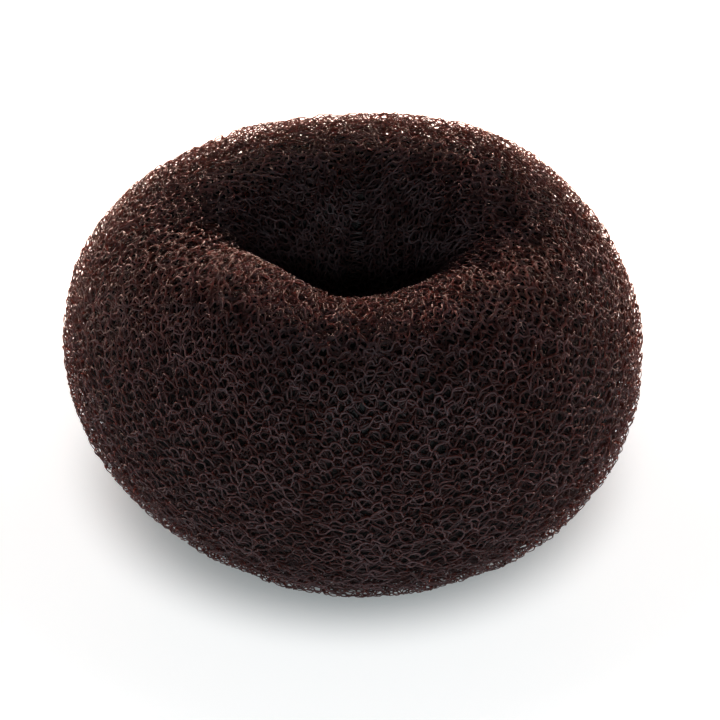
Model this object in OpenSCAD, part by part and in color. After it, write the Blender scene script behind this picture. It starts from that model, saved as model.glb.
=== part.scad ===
// A doughnut-shaped padding ring for a hair bun. A tube of knitted net is rolled up on itself, like a
// sock, until the roll is a fat ring, so the whole ring is one soft piece. It rests with its hole upright.
// The origin is under the middle of the ring, on the surface that it rests on, and +Z is up.

/* [Ring] */
// Width of the ring from outside to outside, along X
outer_d = 90; // [70:1:110]
// Height of the ring as it rests
ring_h = 48; // [40:1:56]
// Width of the hole at its neck, half way up
hole_d = 20; // [14:0.5:26]
// Depth to which the soft roll is pressed flat where it rests
press = 1.2; // [0.6:0.1:2.4]
// Squareness of the roll's outer side, where 2 is an ellipse
outer_square = 2; // [1.8:0.1:2.4]
// Squareness of the roll's side in the hole
inner_square = 2.4; // [2:0.1:2.8]

/* [Net] */
// Thickness of one turn of the rolled net
net_t = 1.2; // [0.6:0.1:1.8]
// Angle round the roll where the last turn of net ends: 0 is outside, 90 on top, 180 in the hole
edge_at = 215; // [195:1:230]
// Depth of the sharper of the two folds in the hole's wall
fold_depth = 2.6; // [1:0.1:3.6]

/* [Hidden] */

// The ring was rolled by hand and is uneven. One row for each eighth of a turn round it, from +X: reach is
// the outer radius, rise the height of the top and neck the radius of the hole, as shares of their sizes.
REACH = 0;
RISE = 1;
NECK = 2;
sections = [
    // reach, rise, neck
    [1.00, 0.93, 1.00],
    [0.99, 0.99, 1.05],
    [1.00, 0.96, 1.03],
    [1.04, 0.93, 1.00],
    [1.00, 0.93, 0.86],
    [0.95, 1.00, 0.90],
    [1.01, 0.97, 1.03],
    [1.02, 0.97, 0.98],
];

// Folds in the hole's wall, left from when the tube of net lay flat. place is the angle round the ring,
// width the fold's angle to each side of it, depth a share of fold_depth, and start and end the angles
// round the roll between which it runs.
PLACE = 0;
WIDTH = 1;
DEPTH = 2;
START = 3;
END = 4;
folds = [
    // place, width, depth, start, end
    [ 87, 15, 1.0, 105, 250],
    [273, 12, 0.6, 120, 240],
];
// Powers that make a fold sharp across and blunt at its ends
fold_sharpness = 1.6;
fold_bluntness = 0.7;

// Steps round the ring, and round each section of the roll
ring_steps = 120;
roll_steps = 46;

// The roll bulges most a little under half way up, because it sags
roll_centre_z = 0.48 * ring_h;

// Value of one column of the section table at a ring angle, on a smooth closed curve through its rows
function even_curve(a, b, c, d, t) =
    b + t * (c - a + t * (2 * a - 5 * b + 4 * c - d + t * (3 * (b - c) + d - a))) / 2;
function share(column, ring_angle) =
    let (
        rows = len(sections),
        place = ring_angle / 360 * rows,
        row = floor(place),
        at = function(step) sections[(row + step + rows) % rows][column]
    )
    even_curve(at(-1), at(0), at(1), at(2), place - row);

// How far the net stands out at a share of a full turn from its free edge. The outside of the ring is
// at 0, and each turn lies one thickness of net above the turn below it.
function turn_at(roll_angle) = (roll_angle - edge_at) / 360;
function stand_out(turn) = net_t * (turn - turn_at(360));

// Depth of the folds at a ring angle and roll angle
function fold_in(ring_angle, roll_angle) =
    let (
        depths = [
            for (fold = folds)
                let (
                    off = abs((ring_angle - fold[PLACE] + 540) % 360 - 180),
                    across = pow(max(0, 1 - off / fold[WIDTH]), fold_sharpness),
                    along = (roll_angle - fold[START]) / (fold[END] - fold[START])
                )
                (along <= 0 || along >= 1)
                    ? 0
                    : fold[DEPTH] * fold_depth * across * pow(sin(180 * along), fold_bluntness)
        ]
    )
    max(depths);

// A point on the ring's surface. The section is a blunted ellipse round the roll's own centre, wound
// outwards by the turns of net, folded in at the folds and pressed flat at the base.
function ring_point(ring_angle, turn) =
    let (
        roll_angle = (edge_at + 360 * turn) % 360,
        c = cos(roll_angle),
        s = sin(roll_angle),
        outer_r = outer_d / 2 * share(REACH, ring_angle),
        neck_r = hole_d / 2 * share(NECK, ring_angle),
        top_z = ring_h * share(RISE, ring_angle),
        centre_r = (outer_r + neck_r) / 2,
        half_w = c > 0
            ? outer_r - centre_r
            : centre_r - neck_r - stand_out(turn_at(540)),
        half_h = s > 0
            ? top_z - roll_centre_z - stand_out(turn_at(450))
            : roll_centre_z + press,
        square = c > 0 ? outer_square : inner_square,
        blunt = pow(pow(abs(c), square) + pow(abs(s), square), -1 / square),
        proud = stand_out(turn) - fold_in(ring_angle, roll_angle),
        r = centre_r + half_w * blunt * c + proud * c,
        z = max(0, roll_centre_z + half_h * blunt * s + proud * s)
    )
    [r * cos(ring_angle), r * sin(ring_angle), z];

// The roll of net, from its free edge once round each section and back to the step under that edge
module net_roll() {
    row = roll_steps + 1;
    points = [
        for (i = [0 : ring_steps - 1], j = [0 : roll_steps])
            ring_point(360 * i / ring_steps, j / roll_steps)
    ];
    faces = [
        for (i = [0 : ring_steps - 1], j = [0 : roll_steps])
            let (
                next_i = (i + 1) % ring_steps,
                next_j = (j + 1) % row,
                a = i * row + j,
                b = next_i * row + j,
                c = next_i * row + next_j,
                d = i * row + next_j
            )
            each [[a, c, b], [a, d, c]]
    ];
    color([0.17, 0.12, 0.12])
        polyhedron(points, faces, convexity = 4);
}

net_roll();
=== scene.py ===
"""A doughnut-shaped padding ring for a hair bun, in dark brown nylon net.

A tube of knitted net is rolled up on itself, like a sock, until the roll is a fat ring. The net is built
as it is knitted: courses of yarn that run round the ring, each a closed wave whose crests hook over the
troughs of the next. They lie in three sheets, and the lower ones show through the open cells of those
above them, their yarn painted darker as painted shade. Below lie the inner turns, too deep to tell apart,
as one padded ring with the net in relief, coloured near black as painted shade.
"""

import math
from typing import NamedTuple

import bpy
import numpy as np
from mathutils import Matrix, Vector


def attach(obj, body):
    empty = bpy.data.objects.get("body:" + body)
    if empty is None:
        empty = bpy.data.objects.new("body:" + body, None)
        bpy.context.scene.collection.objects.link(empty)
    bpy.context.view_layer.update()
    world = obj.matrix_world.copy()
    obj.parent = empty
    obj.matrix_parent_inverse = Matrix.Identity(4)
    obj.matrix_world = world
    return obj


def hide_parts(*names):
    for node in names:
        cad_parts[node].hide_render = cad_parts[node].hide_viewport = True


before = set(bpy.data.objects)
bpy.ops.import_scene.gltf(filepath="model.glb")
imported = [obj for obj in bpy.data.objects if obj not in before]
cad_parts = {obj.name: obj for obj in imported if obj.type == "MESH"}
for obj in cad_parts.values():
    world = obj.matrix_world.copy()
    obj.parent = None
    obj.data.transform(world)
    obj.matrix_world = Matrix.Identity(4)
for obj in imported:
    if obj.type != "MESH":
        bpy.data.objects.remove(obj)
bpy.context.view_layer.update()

# Lengths below are in millimetres, and angles in degrees.
MM = 0.001

# The ring, as in the solid that the net stands for
OUTER_D = 90.0
RING_H = 48.0
HOLE_D = 20.0
# Depth to which its base is pressed flat
PRESS = 1.2
# Squareness of the roll's outer side, and of its side in the hole, where 2 is an ellipse
OUTER_SQUARE = 2.0
INNER_SQUARE = 2.4
# Thickness of one turn of net, and the angle round the roll where the net ends: 0 is outside, 90 on top
NET_T = 1.2
EDGE_AT = 215.0
# The roll bulges most a little under half way up
ROLL_CENTRE_Z = 0.48 * RING_H
# Depth of the sharper fold in the hole's wall, and the powers that make a fold sharp and its ends blunt
FOLD_DEPTH = 2.6
FOLD_SHARPNESS = 1.6
FOLD_BLUNTNESS = 0.7

# The ring is uneven: a row for each eighth of a turn round it, from +X, as shares of its sizes
REACH, RISE, NECK = range(3)
SECTIONS = np.array(
    [
        # reach, rise, neck
        [1.00, 0.93, 1.00],
        [0.99, 0.99, 1.05],
        [1.00, 0.96, 1.03],
        [1.04, 0.93, 1.00],
        [1.00, 0.93, 0.86],
        [0.95, 1.00, 0.90],
        [1.01, 0.97, 1.03],
        [1.02, 0.97, 0.98],
    ]
)
# The folds in the hole's wall, left from when the tube of net lay flat
FOLDS = [
    # place round the ring, width to each side, share of the depth, start and end round the roll
    (87.0, 15.0, 1.0, 105.0, 250.0),
    (273.0, 12.0, 0.6, 120.0, 240.0),
]

# The net, of yarn that lies flat on it: the yarn's width, and its thickness across the net
YARN_W = 0.31
YARN_T = 0.12
# The yarn is widened at its bends, but no more than where the cosine of half a bend has this square
SHARPEST = 0.3
# A course's wave as (share of a stitch round the ring, height in half rows): rounded loops, flat crests
# and troughs that make six-sided cells, or points that make four-sided ones
LOOPED = [(-0.19, 0.88), (0, 1.14), (0.19, 0.88), (0.31, -0.88), (0.5, -1.14), (0.69, -0.88)]
SIX_SIDED = [(-1 / 6, 1), (1 / 6, 1), (1 / 3, -1), (2 / 3, -1)]
FOUR_SIDED = [(0, 1), (1 / 2, -1)]
# Crests and troughs reach this far past the line where two courses meet, and rise and sink by this much
HOOK = 0.03
HOOK_LIFT = 0.12
# Stitches drift out of place by about this much, over this distance, and each corner slips by a little
DRIFT = 0.3
DRIFT_OVER = 3.2
SLIP = 0.06
# The net is crumpled over this distance, and its peaks are pressed down to one level, given as a share of
# the crumple's spread. It swells a little over a longer distance.
CRUMPLE_OVER = 2.5
CRUMPLE_PEAK = 0.4
SWELL = 0.12
SWELL_OVER = 9.0
# Where the net is pressed flat below, a sheet lies higher by this share of its depth, and a turn that is
# one further in by this much
PRESSED_DEPTH = 0.6
PRESSED_TURN = 0.5
# Stitches crowd in the hole by this power of the radius, and change in number by this ratio
CROWDING = 0.35
STITCH_RATIO = 1.1
# The net's length round the roll is measured at this many points, on sections this many degrees apart
MEASURE_POINTS = 4000
MEASURE_EVERY = 15
# A short way along the net, in degrees, over which its directions are measured
SMALL = 0.02


class Sheet(NamedTuple):
    """Courses of net from a first to a last turn, where 0 to 1 is the outermost turn and -1 to 0 the one
    under it. They lie at a depth under that turn's surface, and crumple is how far they are pushed in and
    out. The stitches are a width apart round the ring, and the courses a height apart along the net."""

    name: str
    parts: tuple
    first: float
    last: float
    depth: float
    crumple: float
    wave: list
    width: float
    height: float
    seed: int


OUTER_SHEET = Sheet(
    name="outer_turn",
    parts=("base", "side", "top", "hole"),
    first=0,
    last=1,
    depth=0.0,
    crumple=0.55,
    wave=LOOPED,
    width=2.85,
    height=0.87,
    seed=11,
)
UNDER_SHEETS = [
    Sheet(
        name="inner_sheet",
        parts=("lower", "upper"),
        first=0,
        last=1,
        depth=1.0,
        crumple=0.55,
        wave=SIX_SIDED,
        width=2.85,
        height=0.87,
        seed=23,
    ),
    Sheet(
        name="second_turn",
        parts=("lower", "upper"),
        first=-1,
        last=0,
        depth=0.7,
        crumple=0.4,
        wave=FOUR_SIDED,
        width=1.9,
        height=0.95,
        seed=37,
    ),
]
# The inner turns' ring: its depth under the outermost turn, in thicknesses of net, the least height that
# it lies at, its steps round the ring and round the roll, and the width and relief of its cells
INNER_DEPTH = 2.75
INNER_LOWEST = 1.2
INNER_STEPS = (180, 120)
INNER_CELL = 1.2
INNER_RELIEF = 0.3


def share(column, angle):
    """A column of SECTIONS at angles round the ring, on the Catmull-Rom curve through its rows. Between
    rows b and c, with a before and d after, at a share t of the way, it is
    b + t (c - a + t (2a - 5b + 4c - d + t (3 (b - c) + d - a))) / 2."""
    place = angle / 360 * len(SECTIONS)
    row = np.floor(place).astype(int)
    t = place - row
    a, b, c, d = (SECTIONS[(row + step) % len(SECTIONS), column] for step in (-1, 0, 1, 2))
    return b + t * (c - a + t * (2 * a - 5 * b + 4 * c - d + t * (3 * (b - c) + d - a))) / 2


def fold_in(angle, roll_angle):
    """Depth of the folds: the deepest of depth times (1 - off / width) ^ sharpness across each, times
    sin(180 along) ^ bluntness along it."""
    deepest = np.zeros(np.broadcast(angle, roll_angle).shape)
    for place, width, depth, start, end in FOLDS:
        off = np.abs((angle - place + 540) % 360 - 180)
        across = np.clip(1 - off / width, 0, 1) ** FOLD_SHARPNESS
        along = np.clip((roll_angle - start) / (end - start), 0, 1)
        lengthways = np.sin(np.pi * along).clip(0) ** FOLD_BLUNTNESS
        deepest = np.maximum(deepest, depth * FOLD_DEPTH * across * lengthways)
    return deepest


def turn_at(roll_angle):
    """The place on the net, in turns from its free edge, that shows at an angle round the roll."""
    return (roll_angle - EDGE_AT) / 360


def stand_out(turn):
    """How far a place on the net stands out: 0 at the ring's outside, and one thickness of net a turn."""
    return NET_T * (turn - turn_at(360))


def roll_point(angle, turn, inset=0.0):
    """Points of the rolled net at angles round the ring and at turns from its free edge. Round the roll's
    own centre, at roll angle v, the section is
    r = centre + (half width (|cos v|^n + |sin v|^n)^(-1/n) + proud) cos v,
    and z the same with half height and sin v, where proud is how far the turn stands out, less the folds
    and the inset. The outermost turn passes the top at 450 degrees and the hole's neck at 540."""
    angle, turn = np.broadcast_arrays(np.asarray(angle, float), np.asarray(turn, float))
    roll_angle = (EDGE_AT + 360 * turn) % 360
    c, s = np.cos(np.radians(roll_angle)), np.sin(np.radians(roll_angle))
    outer_r = OUTER_D / 2 * share(REACH, angle)
    neck_r = HOLE_D / 2 * share(NECK, angle)
    top_z = RING_H * share(RISE, angle)
    centre_r = (outer_r + neck_r) / 2
    half_w = np.where(c > 0, outer_r - centre_r, centre_r - neck_r - stand_out(turn_at(540)))
    half_h = np.where(s > 0, top_z - ROLL_CENTRE_Z - stand_out(turn_at(450)), ROLL_CENTRE_Z + PRESS)
    square = np.where(c > 0, OUTER_SQUARE, INNER_SQUARE)
    blunt = (np.abs(c) ** square + np.abs(s) ** square) ** (-1 / square)
    proud = stand_out(turn) - fold_in(angle, roll_angle) - inset
    r = centre_r + half_w * blunt * c + proud * c
    z = ROLL_CENTRE_Z + half_h * blunt * s + proud * s
    return np.stack([r * np.cos(np.radians(angle)), r * np.sin(np.radians(angle)), z], -1)


def unit(vectors):
    """The vectors at length 1."""
    return vectors / np.maximum(np.linalg.norm(vectors, axis=-1, keepdims=True), 1e-9)


def waves(points, length, seed, count=24):
    """A smooth random field with a spread of 1: a sum of sine waves in random directions, whose lengths
    are 0.7 to 1.5 times the given one."""
    draw = np.random.default_rng(seed)
    direction = unit(draw.normal(size=(count, 3)))
    pace = 2 * np.pi / (length * draw.uniform(0.7, 1.5, count))
    phase = draw.uniform(0, 2 * np.pi, count)
    return np.sin(points @ (direction * pace[:, None]).T + phase).sum(-1) * math.sqrt(2 / count)


def even_turns(first, last, spacing):
    """Turns from first to last that lie the same distance apart along the net, and the mean radius at
    each. The distance is the length of the section's curve, averaged over the ring."""
    turn = np.linspace(first, last, MEASURE_POINTS)
    sections = roll_point(np.arange(0, 360, MEASURE_EVERY)[:, None], turn)
    step = np.linalg.norm(np.diff(sections, axis=1), axis=-1).mean(0)
    distance = np.concatenate([[0], np.cumsum(step)])
    rows = round(distance[-1] / spacing)
    places = (np.arange(rows) + 0.5) / rows * distance[-1]
    turns = np.interp(places, distance, turn)
    radius = np.linalg.norm(sections[..., :2], axis=-1).mean(0)
    return turns, np.interp(turns, turn, radius)


def stitches_in(radius, width):
    """How many stitches a course has. They are a width apart at the ring's outside and closer in the hole,
    and the number changes only by steps of STITCH_RATIO, so that neighbouring courses mostly match."""
    crowded = width * (radius / (OUTER_D / 2)) ** CROWDING
    wanted = 2 * np.pi * radius / crowded
    return np.round(STITCH_RATIO ** np.round(np.log(wanted) / math.log(STITCH_RATIO))).astype(int)


def net_points(sheet):
    """The corners of a sheet's courses. Each course is a closed wave round the ring: at a corner of stitch
    k of n, the angle is 360 (k + share) / n and the height about half a row up or down, by the sheet's
    wave. Every second course is shifted by half a stitch, so that its crests meet the next one's troughs.
    Smooth random fields then push the courses about, in and out, as in a net that is rolled by hand."""
    turns, radius = even_turns(sheet.first, sheet.last, sheet.height)
    stitches = stitches_in(radius, sheet.width)
    corners = len(sheet.wave)
    counts = corners * stitches
    course = np.repeat(np.arange(len(turns)), counts)
    start = np.repeat(np.cumsum(counts) - counts, counts)
    place = np.arange(counts.sum()) - start
    shift, rise = np.array(sheet.wave).T
    stitch = place // corners + shift[place % corners] + 0.5 * (course % 2)
    angle = 360 * stitch / stitches[course]
    rise = rise[place % corners]
    turn = turns[course]
    # Directions on the even surface: round the ring, along the net and out of it
    here = roll_point(angle, turn)
    round_ring = unit(roll_point(angle + SMALL, turn) - here)
    along_net = unit(roll_point(angle, turn + SMALL / 360) - here)
    out = unit(np.cross(round_ring, along_net))
    draw = np.random.default_rng(sheet.seed)
    drift = [
        DRIFT * waves(here, DRIFT_OVER, sheet.seed + k) + draw.normal(0, SLIP, len(here)) for k in (1, 2)
    ]
    crumple = waves(here, CRUMPLE_OVER, sheet.seed + 3).clip(None, CRUMPLE_PEAK) - CRUMPLE_PEAK
    swell = SWELL * waves(here, SWELL_OVER, sheet.seed + 4) + draw.normal(0, SLIP / 2, len(here))
    lift = HOOK_LIFT * rise + sheet.crumple * crumple + swell - YARN_T / 2 - sheet.depth
    points = (
        here
        + round_ring * drift[0][:, None]
        + along_net * (drift[1] + rise * (sheet.height / 2 + HOOK))[:, None]
        + out * lift[:, None]
    )
    # The net lies flat on the surface that it rests on, each sheet above the one outside it
    lowest = YARN_T + PRESSED_DEPTH * sheet.depth + PRESSED_TURN * np.floor(1 - turn).clip(0)
    points[:, 2] = np.maximum(points[:, 2], lowest)
    return points, out, course, place, counts


def yarn_mesh(points, out, course, place, counts):
    """Flat three-sided yarns along the courses, one ridge outwards. At each corner the profile lies across
    the mean direction of the two stretches that meet there, and is widened by 1 / cos of half the bend.
    Returns the vertices, the four-sided faces and the faces' places on a map, each a cell of its own."""
    start = np.arange(len(points)) - place
    count = counts[course]
    after = start + (place + 1) % count
    before = start + (place - 1) % count
    ahead, behind = unit(points[after] - points), unit(points - points[before])
    along = unit(ahead + behind)
    aside = unit(np.cross(along, out))
    up = np.cross(aside, along)
    cosine_squared = (1 + (ahead * behind).sum(-1)) / 2
    widen = 1 / np.sqrt(cosine_squared.clip(SHARPEST))
    # Across the net and along it, in shares of the yarn's thickness and width
    profile = [(2 / 3, 0), (-1 / 3, 1 / 2), (-1 / 3, -1 / 2)]
    ring = [points + a * YARN_T * up + b * YARN_W * aside * widen[:, None] for a, b in profile]
    vertices = np.stack(ring, 1).reshape(-1, 3)
    sides = len(profile)
    side = np.arange(sides)
    next_side = (side + 1) % sides
    here, there = np.arange(len(points))[:, None] * sides, after[:, None] * sides
    faces = np.stack([here + side, here + next_side, there + next_side, there + side], -1).reshape(-1, 4)
    rows = (course.max() + 1) * sides
    u = np.stack([place / count, place / count, (place + 1) / count, (place + 1) / count], -1)
    v = (course[:, None] * sides + side)[..., None] + np.array([0, 1, 1, 0])
    u = np.broadcast_to(u[:, None], v.shape)
    return vertices, faces, np.stack([u, v / rows], -1).reshape(-1, 2)


def grid_mesh(points):
    """A closed grid of points, which meets itself both ways, as vertices and four-sided faces."""
    rows, columns = points.shape[:2]
    number = np.arange(rows * columns).reshape(rows, columns)
    right = np.roll(number, -1, 0)
    faces = np.stack([number, right, np.roll(right, -1, 1), np.roll(number, -1, 1)], -1)
    return points.reshape(-1, 3), faces.reshape(-1, 4)


def new_piece(name, vertices, faces, material, places=None):
    """A piece of the ring with these vertices, in millimetres, and four-sided faces."""
    mesh = bpy.data.meshes.new(name)
    mesh.vertices.add(len(vertices))
    mesh.vertices.foreach_set("co", (vertices * MM).astype(np.float32).ravel())
    mesh.loops.add(faces.size)
    mesh.loops.foreach_set("vertex_index", faces.astype(np.int32).ravel())
    mesh.polygons.add(len(faces))
    mesh.polygons.foreach_set("loop_start", np.arange(0, faces.size, 4, dtype=np.int32))
    mesh.polygons.foreach_set("use_smooth", np.ones(len(faces), bool))
    if places is not None:
        layer = mesh.uv_layers.new(name="OFBake")
        layer.uv.foreach_set("vector", places.astype(np.float32).ravel())
    mesh.update(calc_edges=True)
    mesh.materials.append(material)
    piece = bpy.data.objects.new(name, mesh)
    bpy.context.scene.collection.objects.link(piece)
    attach(piece, "root")
    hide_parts("net_roll")
    return piece


class Value:
    """A socket of a material's nodes, on which shader maths can be written as Python expressions."""

    def __init__(self, shader, socket):
        self.shader = shader
        self.socket = socket

    def maths(self, operation, first, second):
        """A Math node on two values or numbers."""
        return self.shader.node("ShaderNodeMath", {"operation": operation}, {0: first, 1: second})

    def __add__(self, other):
        return self.maths("ADD", self, other)

    def __sub__(self, other):
        return self.maths("SUBTRACT", self, other)

    def __rsub__(self, other):
        return self.maths("SUBTRACT", other, self)

    def __mul__(self, other):
        return self.maths("MULTIPLY", self, other)

    __radd__ = __add__
    __rmul__ = __mul__


class Shader:
    """The nodes of a material or of the world around the scene."""

    def __init__(self, name, owners):
        self.owner = owners.new(name)
        self.owner.use_nodes = True
        self.tree = self.owner.node_tree
        self.tree.nodes.clear()

    def node(self, kind, settings, sockets, output=None):
        """Adds a node with these settings, then these values or links in its sockets, which go by name or
        by number. Returns the output of that name, or else the first one."""
        made = self.tree.nodes.new(kind)
        for name, value in settings.items():
            setattr(made, name, value)
        for name, value in sockets.items():
            if isinstance(name, int):
                socket = made.inputs[name]
            else:
                socket = next(s for s in made.inputs if s.name == name and s.enabled)
            if isinstance(value, Value):
                self.tree.links.new(value.socket, socket)
            else:
                socket.default_value = value
        shown = [s for s in made.outputs if s.enabled and output in (None, s.name)]
        return Value(self, shown[0]) if shown else None

    def place(self):
        """The piece's own coordinates, in metres."""
        return self.node("ShaderNodeTexCoord", {}, {}, "Object")

    def noise(self, length, detail):
        """Random values about 0.5 that change over a length in millimetres."""
        sockets = {"Vector": self.place(), "Scale": 1 / (length * MM), "Detail": detail}
        return self.node("ShaderNodeTexNoise", {}, sockets)

    def mix(self, factor, first, second):
        """A colour that goes from first to second."""
        sockets = {"Factor": factor, "A": first, "B": second}
        return self.node("ShaderNodeMix", {"data_type": "RGBA"}, sockets)

    def between(self, value, start, end, low=0.0, high=1.0, smooth="SMOOTHSTEP"):
        """Low below start and high above end, with a smooth step between, or a straight one."""
        sockets = {"Value": value, "From Min": start, "From Max": end, "To Min": low, "To Max": high}
        return self.node("ShaderNodeMapRange", {"interpolation_type": smooth}, sockets)

    def finish(self, surface, output="ShaderNodeOutputMaterial"):
        """Puts the surface in the output, and returns the finished material or world."""
        self.node(output, {}, {"Surface": surface})
        return self.owner


# The dark and the pale shade of the yarn, in the outermost turn and under it. Under it the same yarn is
# painted darker, as painted shade for the sheets that lie deeper.
OUTER_SHADES = (0.0135, 0.0103, 0.0115, 1), (0.061, 0.045, 0.05, 1)
SHADED_UNDER_SHADES = (0.009, 0.0068, 0.0075, 1), (0.037, 0.027, 0.029, 1)
# The light that comes through the yarn, and how much of it in the outermost turn and under it
RED_LIGHT = (0.92, 0.4, 0.3, 1)
OUTER_CLEARNESS = 0.29
UNDER_CLEARNESS = 0.25
# The dye took unevenly, in patches and in flecks of these lengths, and the patches tell the more
PATCH = 4.5
FLECK = 0.8
PATCH_SHARE = 0.6
# The hollows and the yarns of the inner turns, near black: painted shade for net that lies deep in shadow
SHADED_HOLLOW = (0.001, 0.0007, 0.0007, 1)
SHADED_DEEP_YARN = (0.008, 0.005, 0.0045, 1)


def brown_nylon(name, shades, clearness):
    """Dyed nylon yarn: brown in two near shades, with a soft gloss and some red light through it."""
    shader = Shader(name, bpy.data.materials)
    patch = shader.between(shader.noise(PATCH, 2.0), 0.38, 0.62)
    fleck = shader.between(shader.noise(FLECK, 1.0), 0.4, 0.7)
    colour = shader.mix(patch * PATCH_SHARE + fleck * (1 - PATCH_SHARE), *shades)
    solid = shader.node(
        "ShaderNodeBsdfPrincipled",
        {},
        {"Base Color": colour, "Roughness": 0.4, "Specular IOR Level": 0.17},
    )
    through = shader.node("ShaderNodeBsdfTranslucent", {}, {"Color": RED_LIGHT})
    both = shader.node("ShaderNodeMixShader", {}, {"Fac": clearness, 1: solid, 2: through})
    return shader.finish(both)


def shaded_deep_net(name):
    """The inner turns of net, seen through the outer ones: hollows between yarns, in relief, both coloured
    near black as painted shade, and the hollows darkest.
    """
    shader = Shader(name, bpy.data.materials)
    cells = shader.node(
        "ShaderNodeTexVoronoi",
        {"feature": "DISTANCE_TO_EDGE"},
        {"Vector": shader.place(), "Scale": 1 / (INNER_CELL * MM)},
    )
    yarn = 1 - shader.between(cells, 0.03, 0.14)
    # The hollows are darker than the yarns: painted shade in the recesses between them.
    colour = shader.mix(yarn, SHADED_HOLLOW, SHADED_DEEP_YARN)
    relief = shader.node(
        "ShaderNodeBump",
        {},
        {"Strength": 1.0, "Distance": INNER_RELIEF * MM, "Height": yarn},
    )
    return shader.finish(
        shader.node(
            "ShaderNodeBsdfPrincipled",
            {},
            {"Base Color": colour, "Roughness": 0.6, "Specular IOR Level": 0.2, "Normal": relief},
        )
    )


# The floor, and steps of its glow outwards from the ring's middle: start, end, low and high. The near step
# keeps the glow low round the ring, a painted shadow.
FLOOR_SIZE = 8000.0
NEAR_GLOW_PAINTED_SHADOW = (32 * MM, 48 * MM, 0.09, 0.7)
FAR_GLOW = (60 * MM, 100 * MM, 0.0, 0.3)
# Behind the ring the glow turns warm, from one to the other distance from its middle and depth behind it
WARM_GLOW = (1.95, 1.5, 1.32, 1)
WARM_AWAY = (43 * MM, 70 * MM)
WARM_BEHIND = (-20 * MM, 60 * MM)
# The room's light overhead, round the horizon and in the band behind
ZENITH = (0.05, 0.05, 0.055, 1)
HORIZON = (0.17, 0.18, 0.19, 1)
WARM_BAND = (76.0, 48.5, 38.5, 1)
# Sines of angles: how high the band reaches, how squarely behind it is full, and where the zenith begins
BAND_TOP = 0.14
BAND_FULL = 0.9
ZENITH_STEP = (0.1, 0.45)
# The lamp above and in front
LAMP_PLACE = (40.0, -745.0, 370.0)
LAMP_SIZE = 150.0
LAMP_WATTS = 3.7
LAMP_COLOUR = (0.83, 0.97, 1.0)


def pale_floor(name):
    """A white photographer's floor that glows, but little where the ring stands, so that its shadow is
    tight:
    there its glow is painted low, a painted shadow. Behind the ring it glows more and warmly, like the
    room, and lights the rim from below."""
    shader = Shader(name, bpy.data.materials)
    away = shader.node("ShaderNodeVectorMath", {"operation": "LENGTH"}, {0: shader.place()})
    depth = shader.node("ShaderNodeSeparateXYZ", {}, {"Vector": shader.place()}, "Y")
    # The glow is low close to the ring and rises outwards: a painted shadow round where it stands.
    white = shader.between(away, *NEAR_GLOW_PAINTED_SHADOW) + shader.between(away, *FAR_GLOW)
    behind = shader.between(away, *WARM_AWAY) * shader.between(depth, *WARM_BEHIND)
    glow = shader.mix(behind, white, WARM_GLOW)
    return shader.finish(
        shader.node(
            "ShaderNodeBsdfPrincipled",
            {},
            {
                "Base Color": (0.8, 0.8, 0.8, 1),
                "Roughness": 0.3,
                "IOR": 1.8,
                "Emission Color": glow,
                "Emission Strength": 1.0,
            },
        )
    )


def dim_room(name):
    """A room that is dim overhead and a little less so round the horizon. Low behind the ring a warm band
    is by far the strongest light, so that it comes through the net's rim."""
    shader = Shader(name, bpy.data.worlds)
    direction = shader.node("ShaderNodeTexCoord", {}, {}, "Generated")
    depth = shader.node("ShaderNodeSeparateXYZ", {}, {"Vector": direction}, "Y")
    height = shader.node("ShaderNodeSeparateXYZ", {}, {"Vector": direction}, "Z")
    low = 1 - shader.between(height, 0.0, BAND_TOP, smooth="LINEAR")
    behind = shader.between(depth, 0.0, BAND_FULL, smooth="LINEAR")
    around = shader.mix(behind * low, HORIZON, WARM_BAND)
    light = shader.mix(shader.between(height, *ZENITH_STEP, smooth="LINEAR"), around, ZENITH)
    background = shader.node("ShaderNodeBackground", {}, {"Color": light, "Strength": 1.0})
    return shader.finish(background, "ShaderNodeOutputWorld")


# The camera: its distance from the roll's middle height, and its angle above the floor
CAMERA_DISTANCE = 468.0
CAMERA_ANGLE = 34.9
LENS = 150.0
SENSOR = 36.0
# The picture's width in pixels, and where the middle of the ring lies in it
PICTURE = 720
RING_AT = (351.9, 343.0)


def add_camera():
    """Looks along +Y and down at the ring, which lies a few pixels off the picture's middle."""
    up = math.radians(CAMERA_ANGLE)
    middle = Vector((0, 0, ROLL_CENTRE_Z)) * MM
    back = Vector((0, -math.cos(up), math.sin(up)))
    data = bpy.data.cameras.new("camera")
    data.lens = LENS
    data.sensor_width = SENSOR
    data.shift_x = (PICTURE / 2 - RING_AT[0]) / PICTURE
    data.shift_y = (RING_AT[1] - PICTURE / 2) / PICTURE
    data.clip_start = 0.01
    data.clip_end = 20
    camera = bpy.data.objects.new("camera", data)
    camera.location = middle + back * CAMERA_DISTANCE * MM
    camera.rotation_euler = (-back).to_track_quat("-Z", "Y").to_euler()
    bpy.context.scene.collection.objects.link(camera)
    bpy.context.scene.camera = camera


def add_lamp():
    """A square area light that points at the ring."""
    place = Vector([length * MM for length in LAMP_PLACE])
    data = bpy.data.lights.new("front", "AREA")
    data.size = LAMP_SIZE * MM
    data.energy = LAMP_WATTS
    data.color = LAMP_COLOUR
    lamp = bpy.data.objects.new("front", data)
    lamp.location = place
    lamp.rotation_euler = (-place).to_track_quat("-Z", "Y").to_euler()
    bpy.context.scene.collection.objects.link(lamp)


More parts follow.
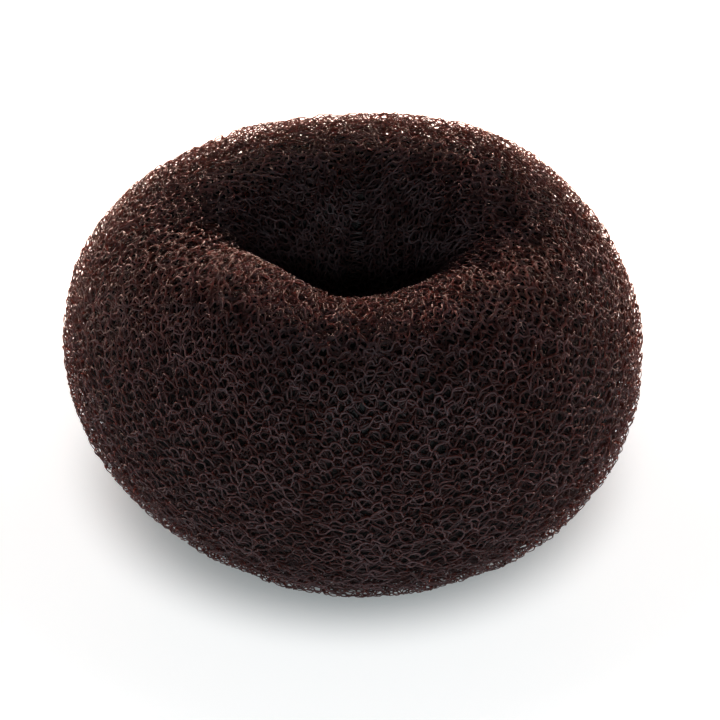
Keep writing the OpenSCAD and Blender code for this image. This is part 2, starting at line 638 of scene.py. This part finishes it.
def add_studio():
    """A white floor in a dim room, with a warm band of light low behind and one soft lamp in front."""
    half = FLOOR_SIZE / 2 * MM
    corners = [(-half, -half, 0), (half, -half, 0), (half, half, 0), (-half, half, 0)]
    mesh = bpy.data.meshes.new("floor")
    mesh.from_pydata(corners, [], [(0, 1, 2, 3)])
    mesh.materials.append(pale_floor("pale_floor"))
    floor = bpy.data.objects.new("floor", mesh)
    bpy.context.scene.collection.objects.link(floor)
    bpy.context.scene.world = dim_room("dim_room")
    add_lamp()
    bpy.context.scene.view_settings.view_transform = "Standard"


def add_sheet(sheet, material):
    """A sheet of net in its parts, each from an equal share of the courses' corners."""
    points, out, course, place, counts = net_points(sheet)
    share_of = np.cumsum(counts) / counts.sum()
    part_of = np.minimum((share_of * len(sheet.parts)).astype(int), len(sheet.parts) - 1)[course]
    for number, part in enumerate(sheet.parts):
        mine = part_of == number
        first_course = course[mine].min()
        vertices, faces, places = yarn_mesh(
            points[mine],
            out[mine],
            course[mine] - first_course,
            place[mine],
            counts[first_course:],
        )
        new_piece(f"{sheet.name}_{part}", vertices, faces, material, places)


def add_net():
    """The outermost turn, and the sheets under it that show through its cells, in the same yarn painted
    darker as painted shade.
    """
    outer = brown_nylon("outer_nylon", OUTER_SHADES, OUTER_CLEARNESS)
    # The sheets under the outermost turn are the same yarn in darker shades: painted shade.
    under = brown_nylon("shaded_under_nylon", SHADED_UNDER_SHADES, UNDER_CLEARNESS)
    add_sheet(OUTER_SHEET, outer)
    for sheet in UNDER_SHEETS:
        add_sheet(sheet, under)


def add_inner_turns():
    """The turns of net that are too deep to tell apart, as one padded ring under the turns that show. Its
    inset takes away what a turn stands out, so that the section closes without a step."""
    ring_steps, roll_steps = INNER_STEPS
    angle = 360 * np.arange(ring_steps)[:, None] / ring_steps
    turn = np.arange(roll_steps)[None] / roll_steps
    inset = INNER_DEPTH * NET_T + stand_out(turn)
    points = roll_point(angle, turn, inset)
    points[..., 2] = np.maximum(points[..., 2], INNER_LOWEST)
    vertices, faces = grid_mesh(points)
    # The padded ring is coloured near black: painted shade for the deep turns of net.
    piece = new_piece("inner_turns", vertices, faces, shaded_deep_net("shaded_deep_net"))


add_camera()
add_studio()
add_inner_turns()
add_net()
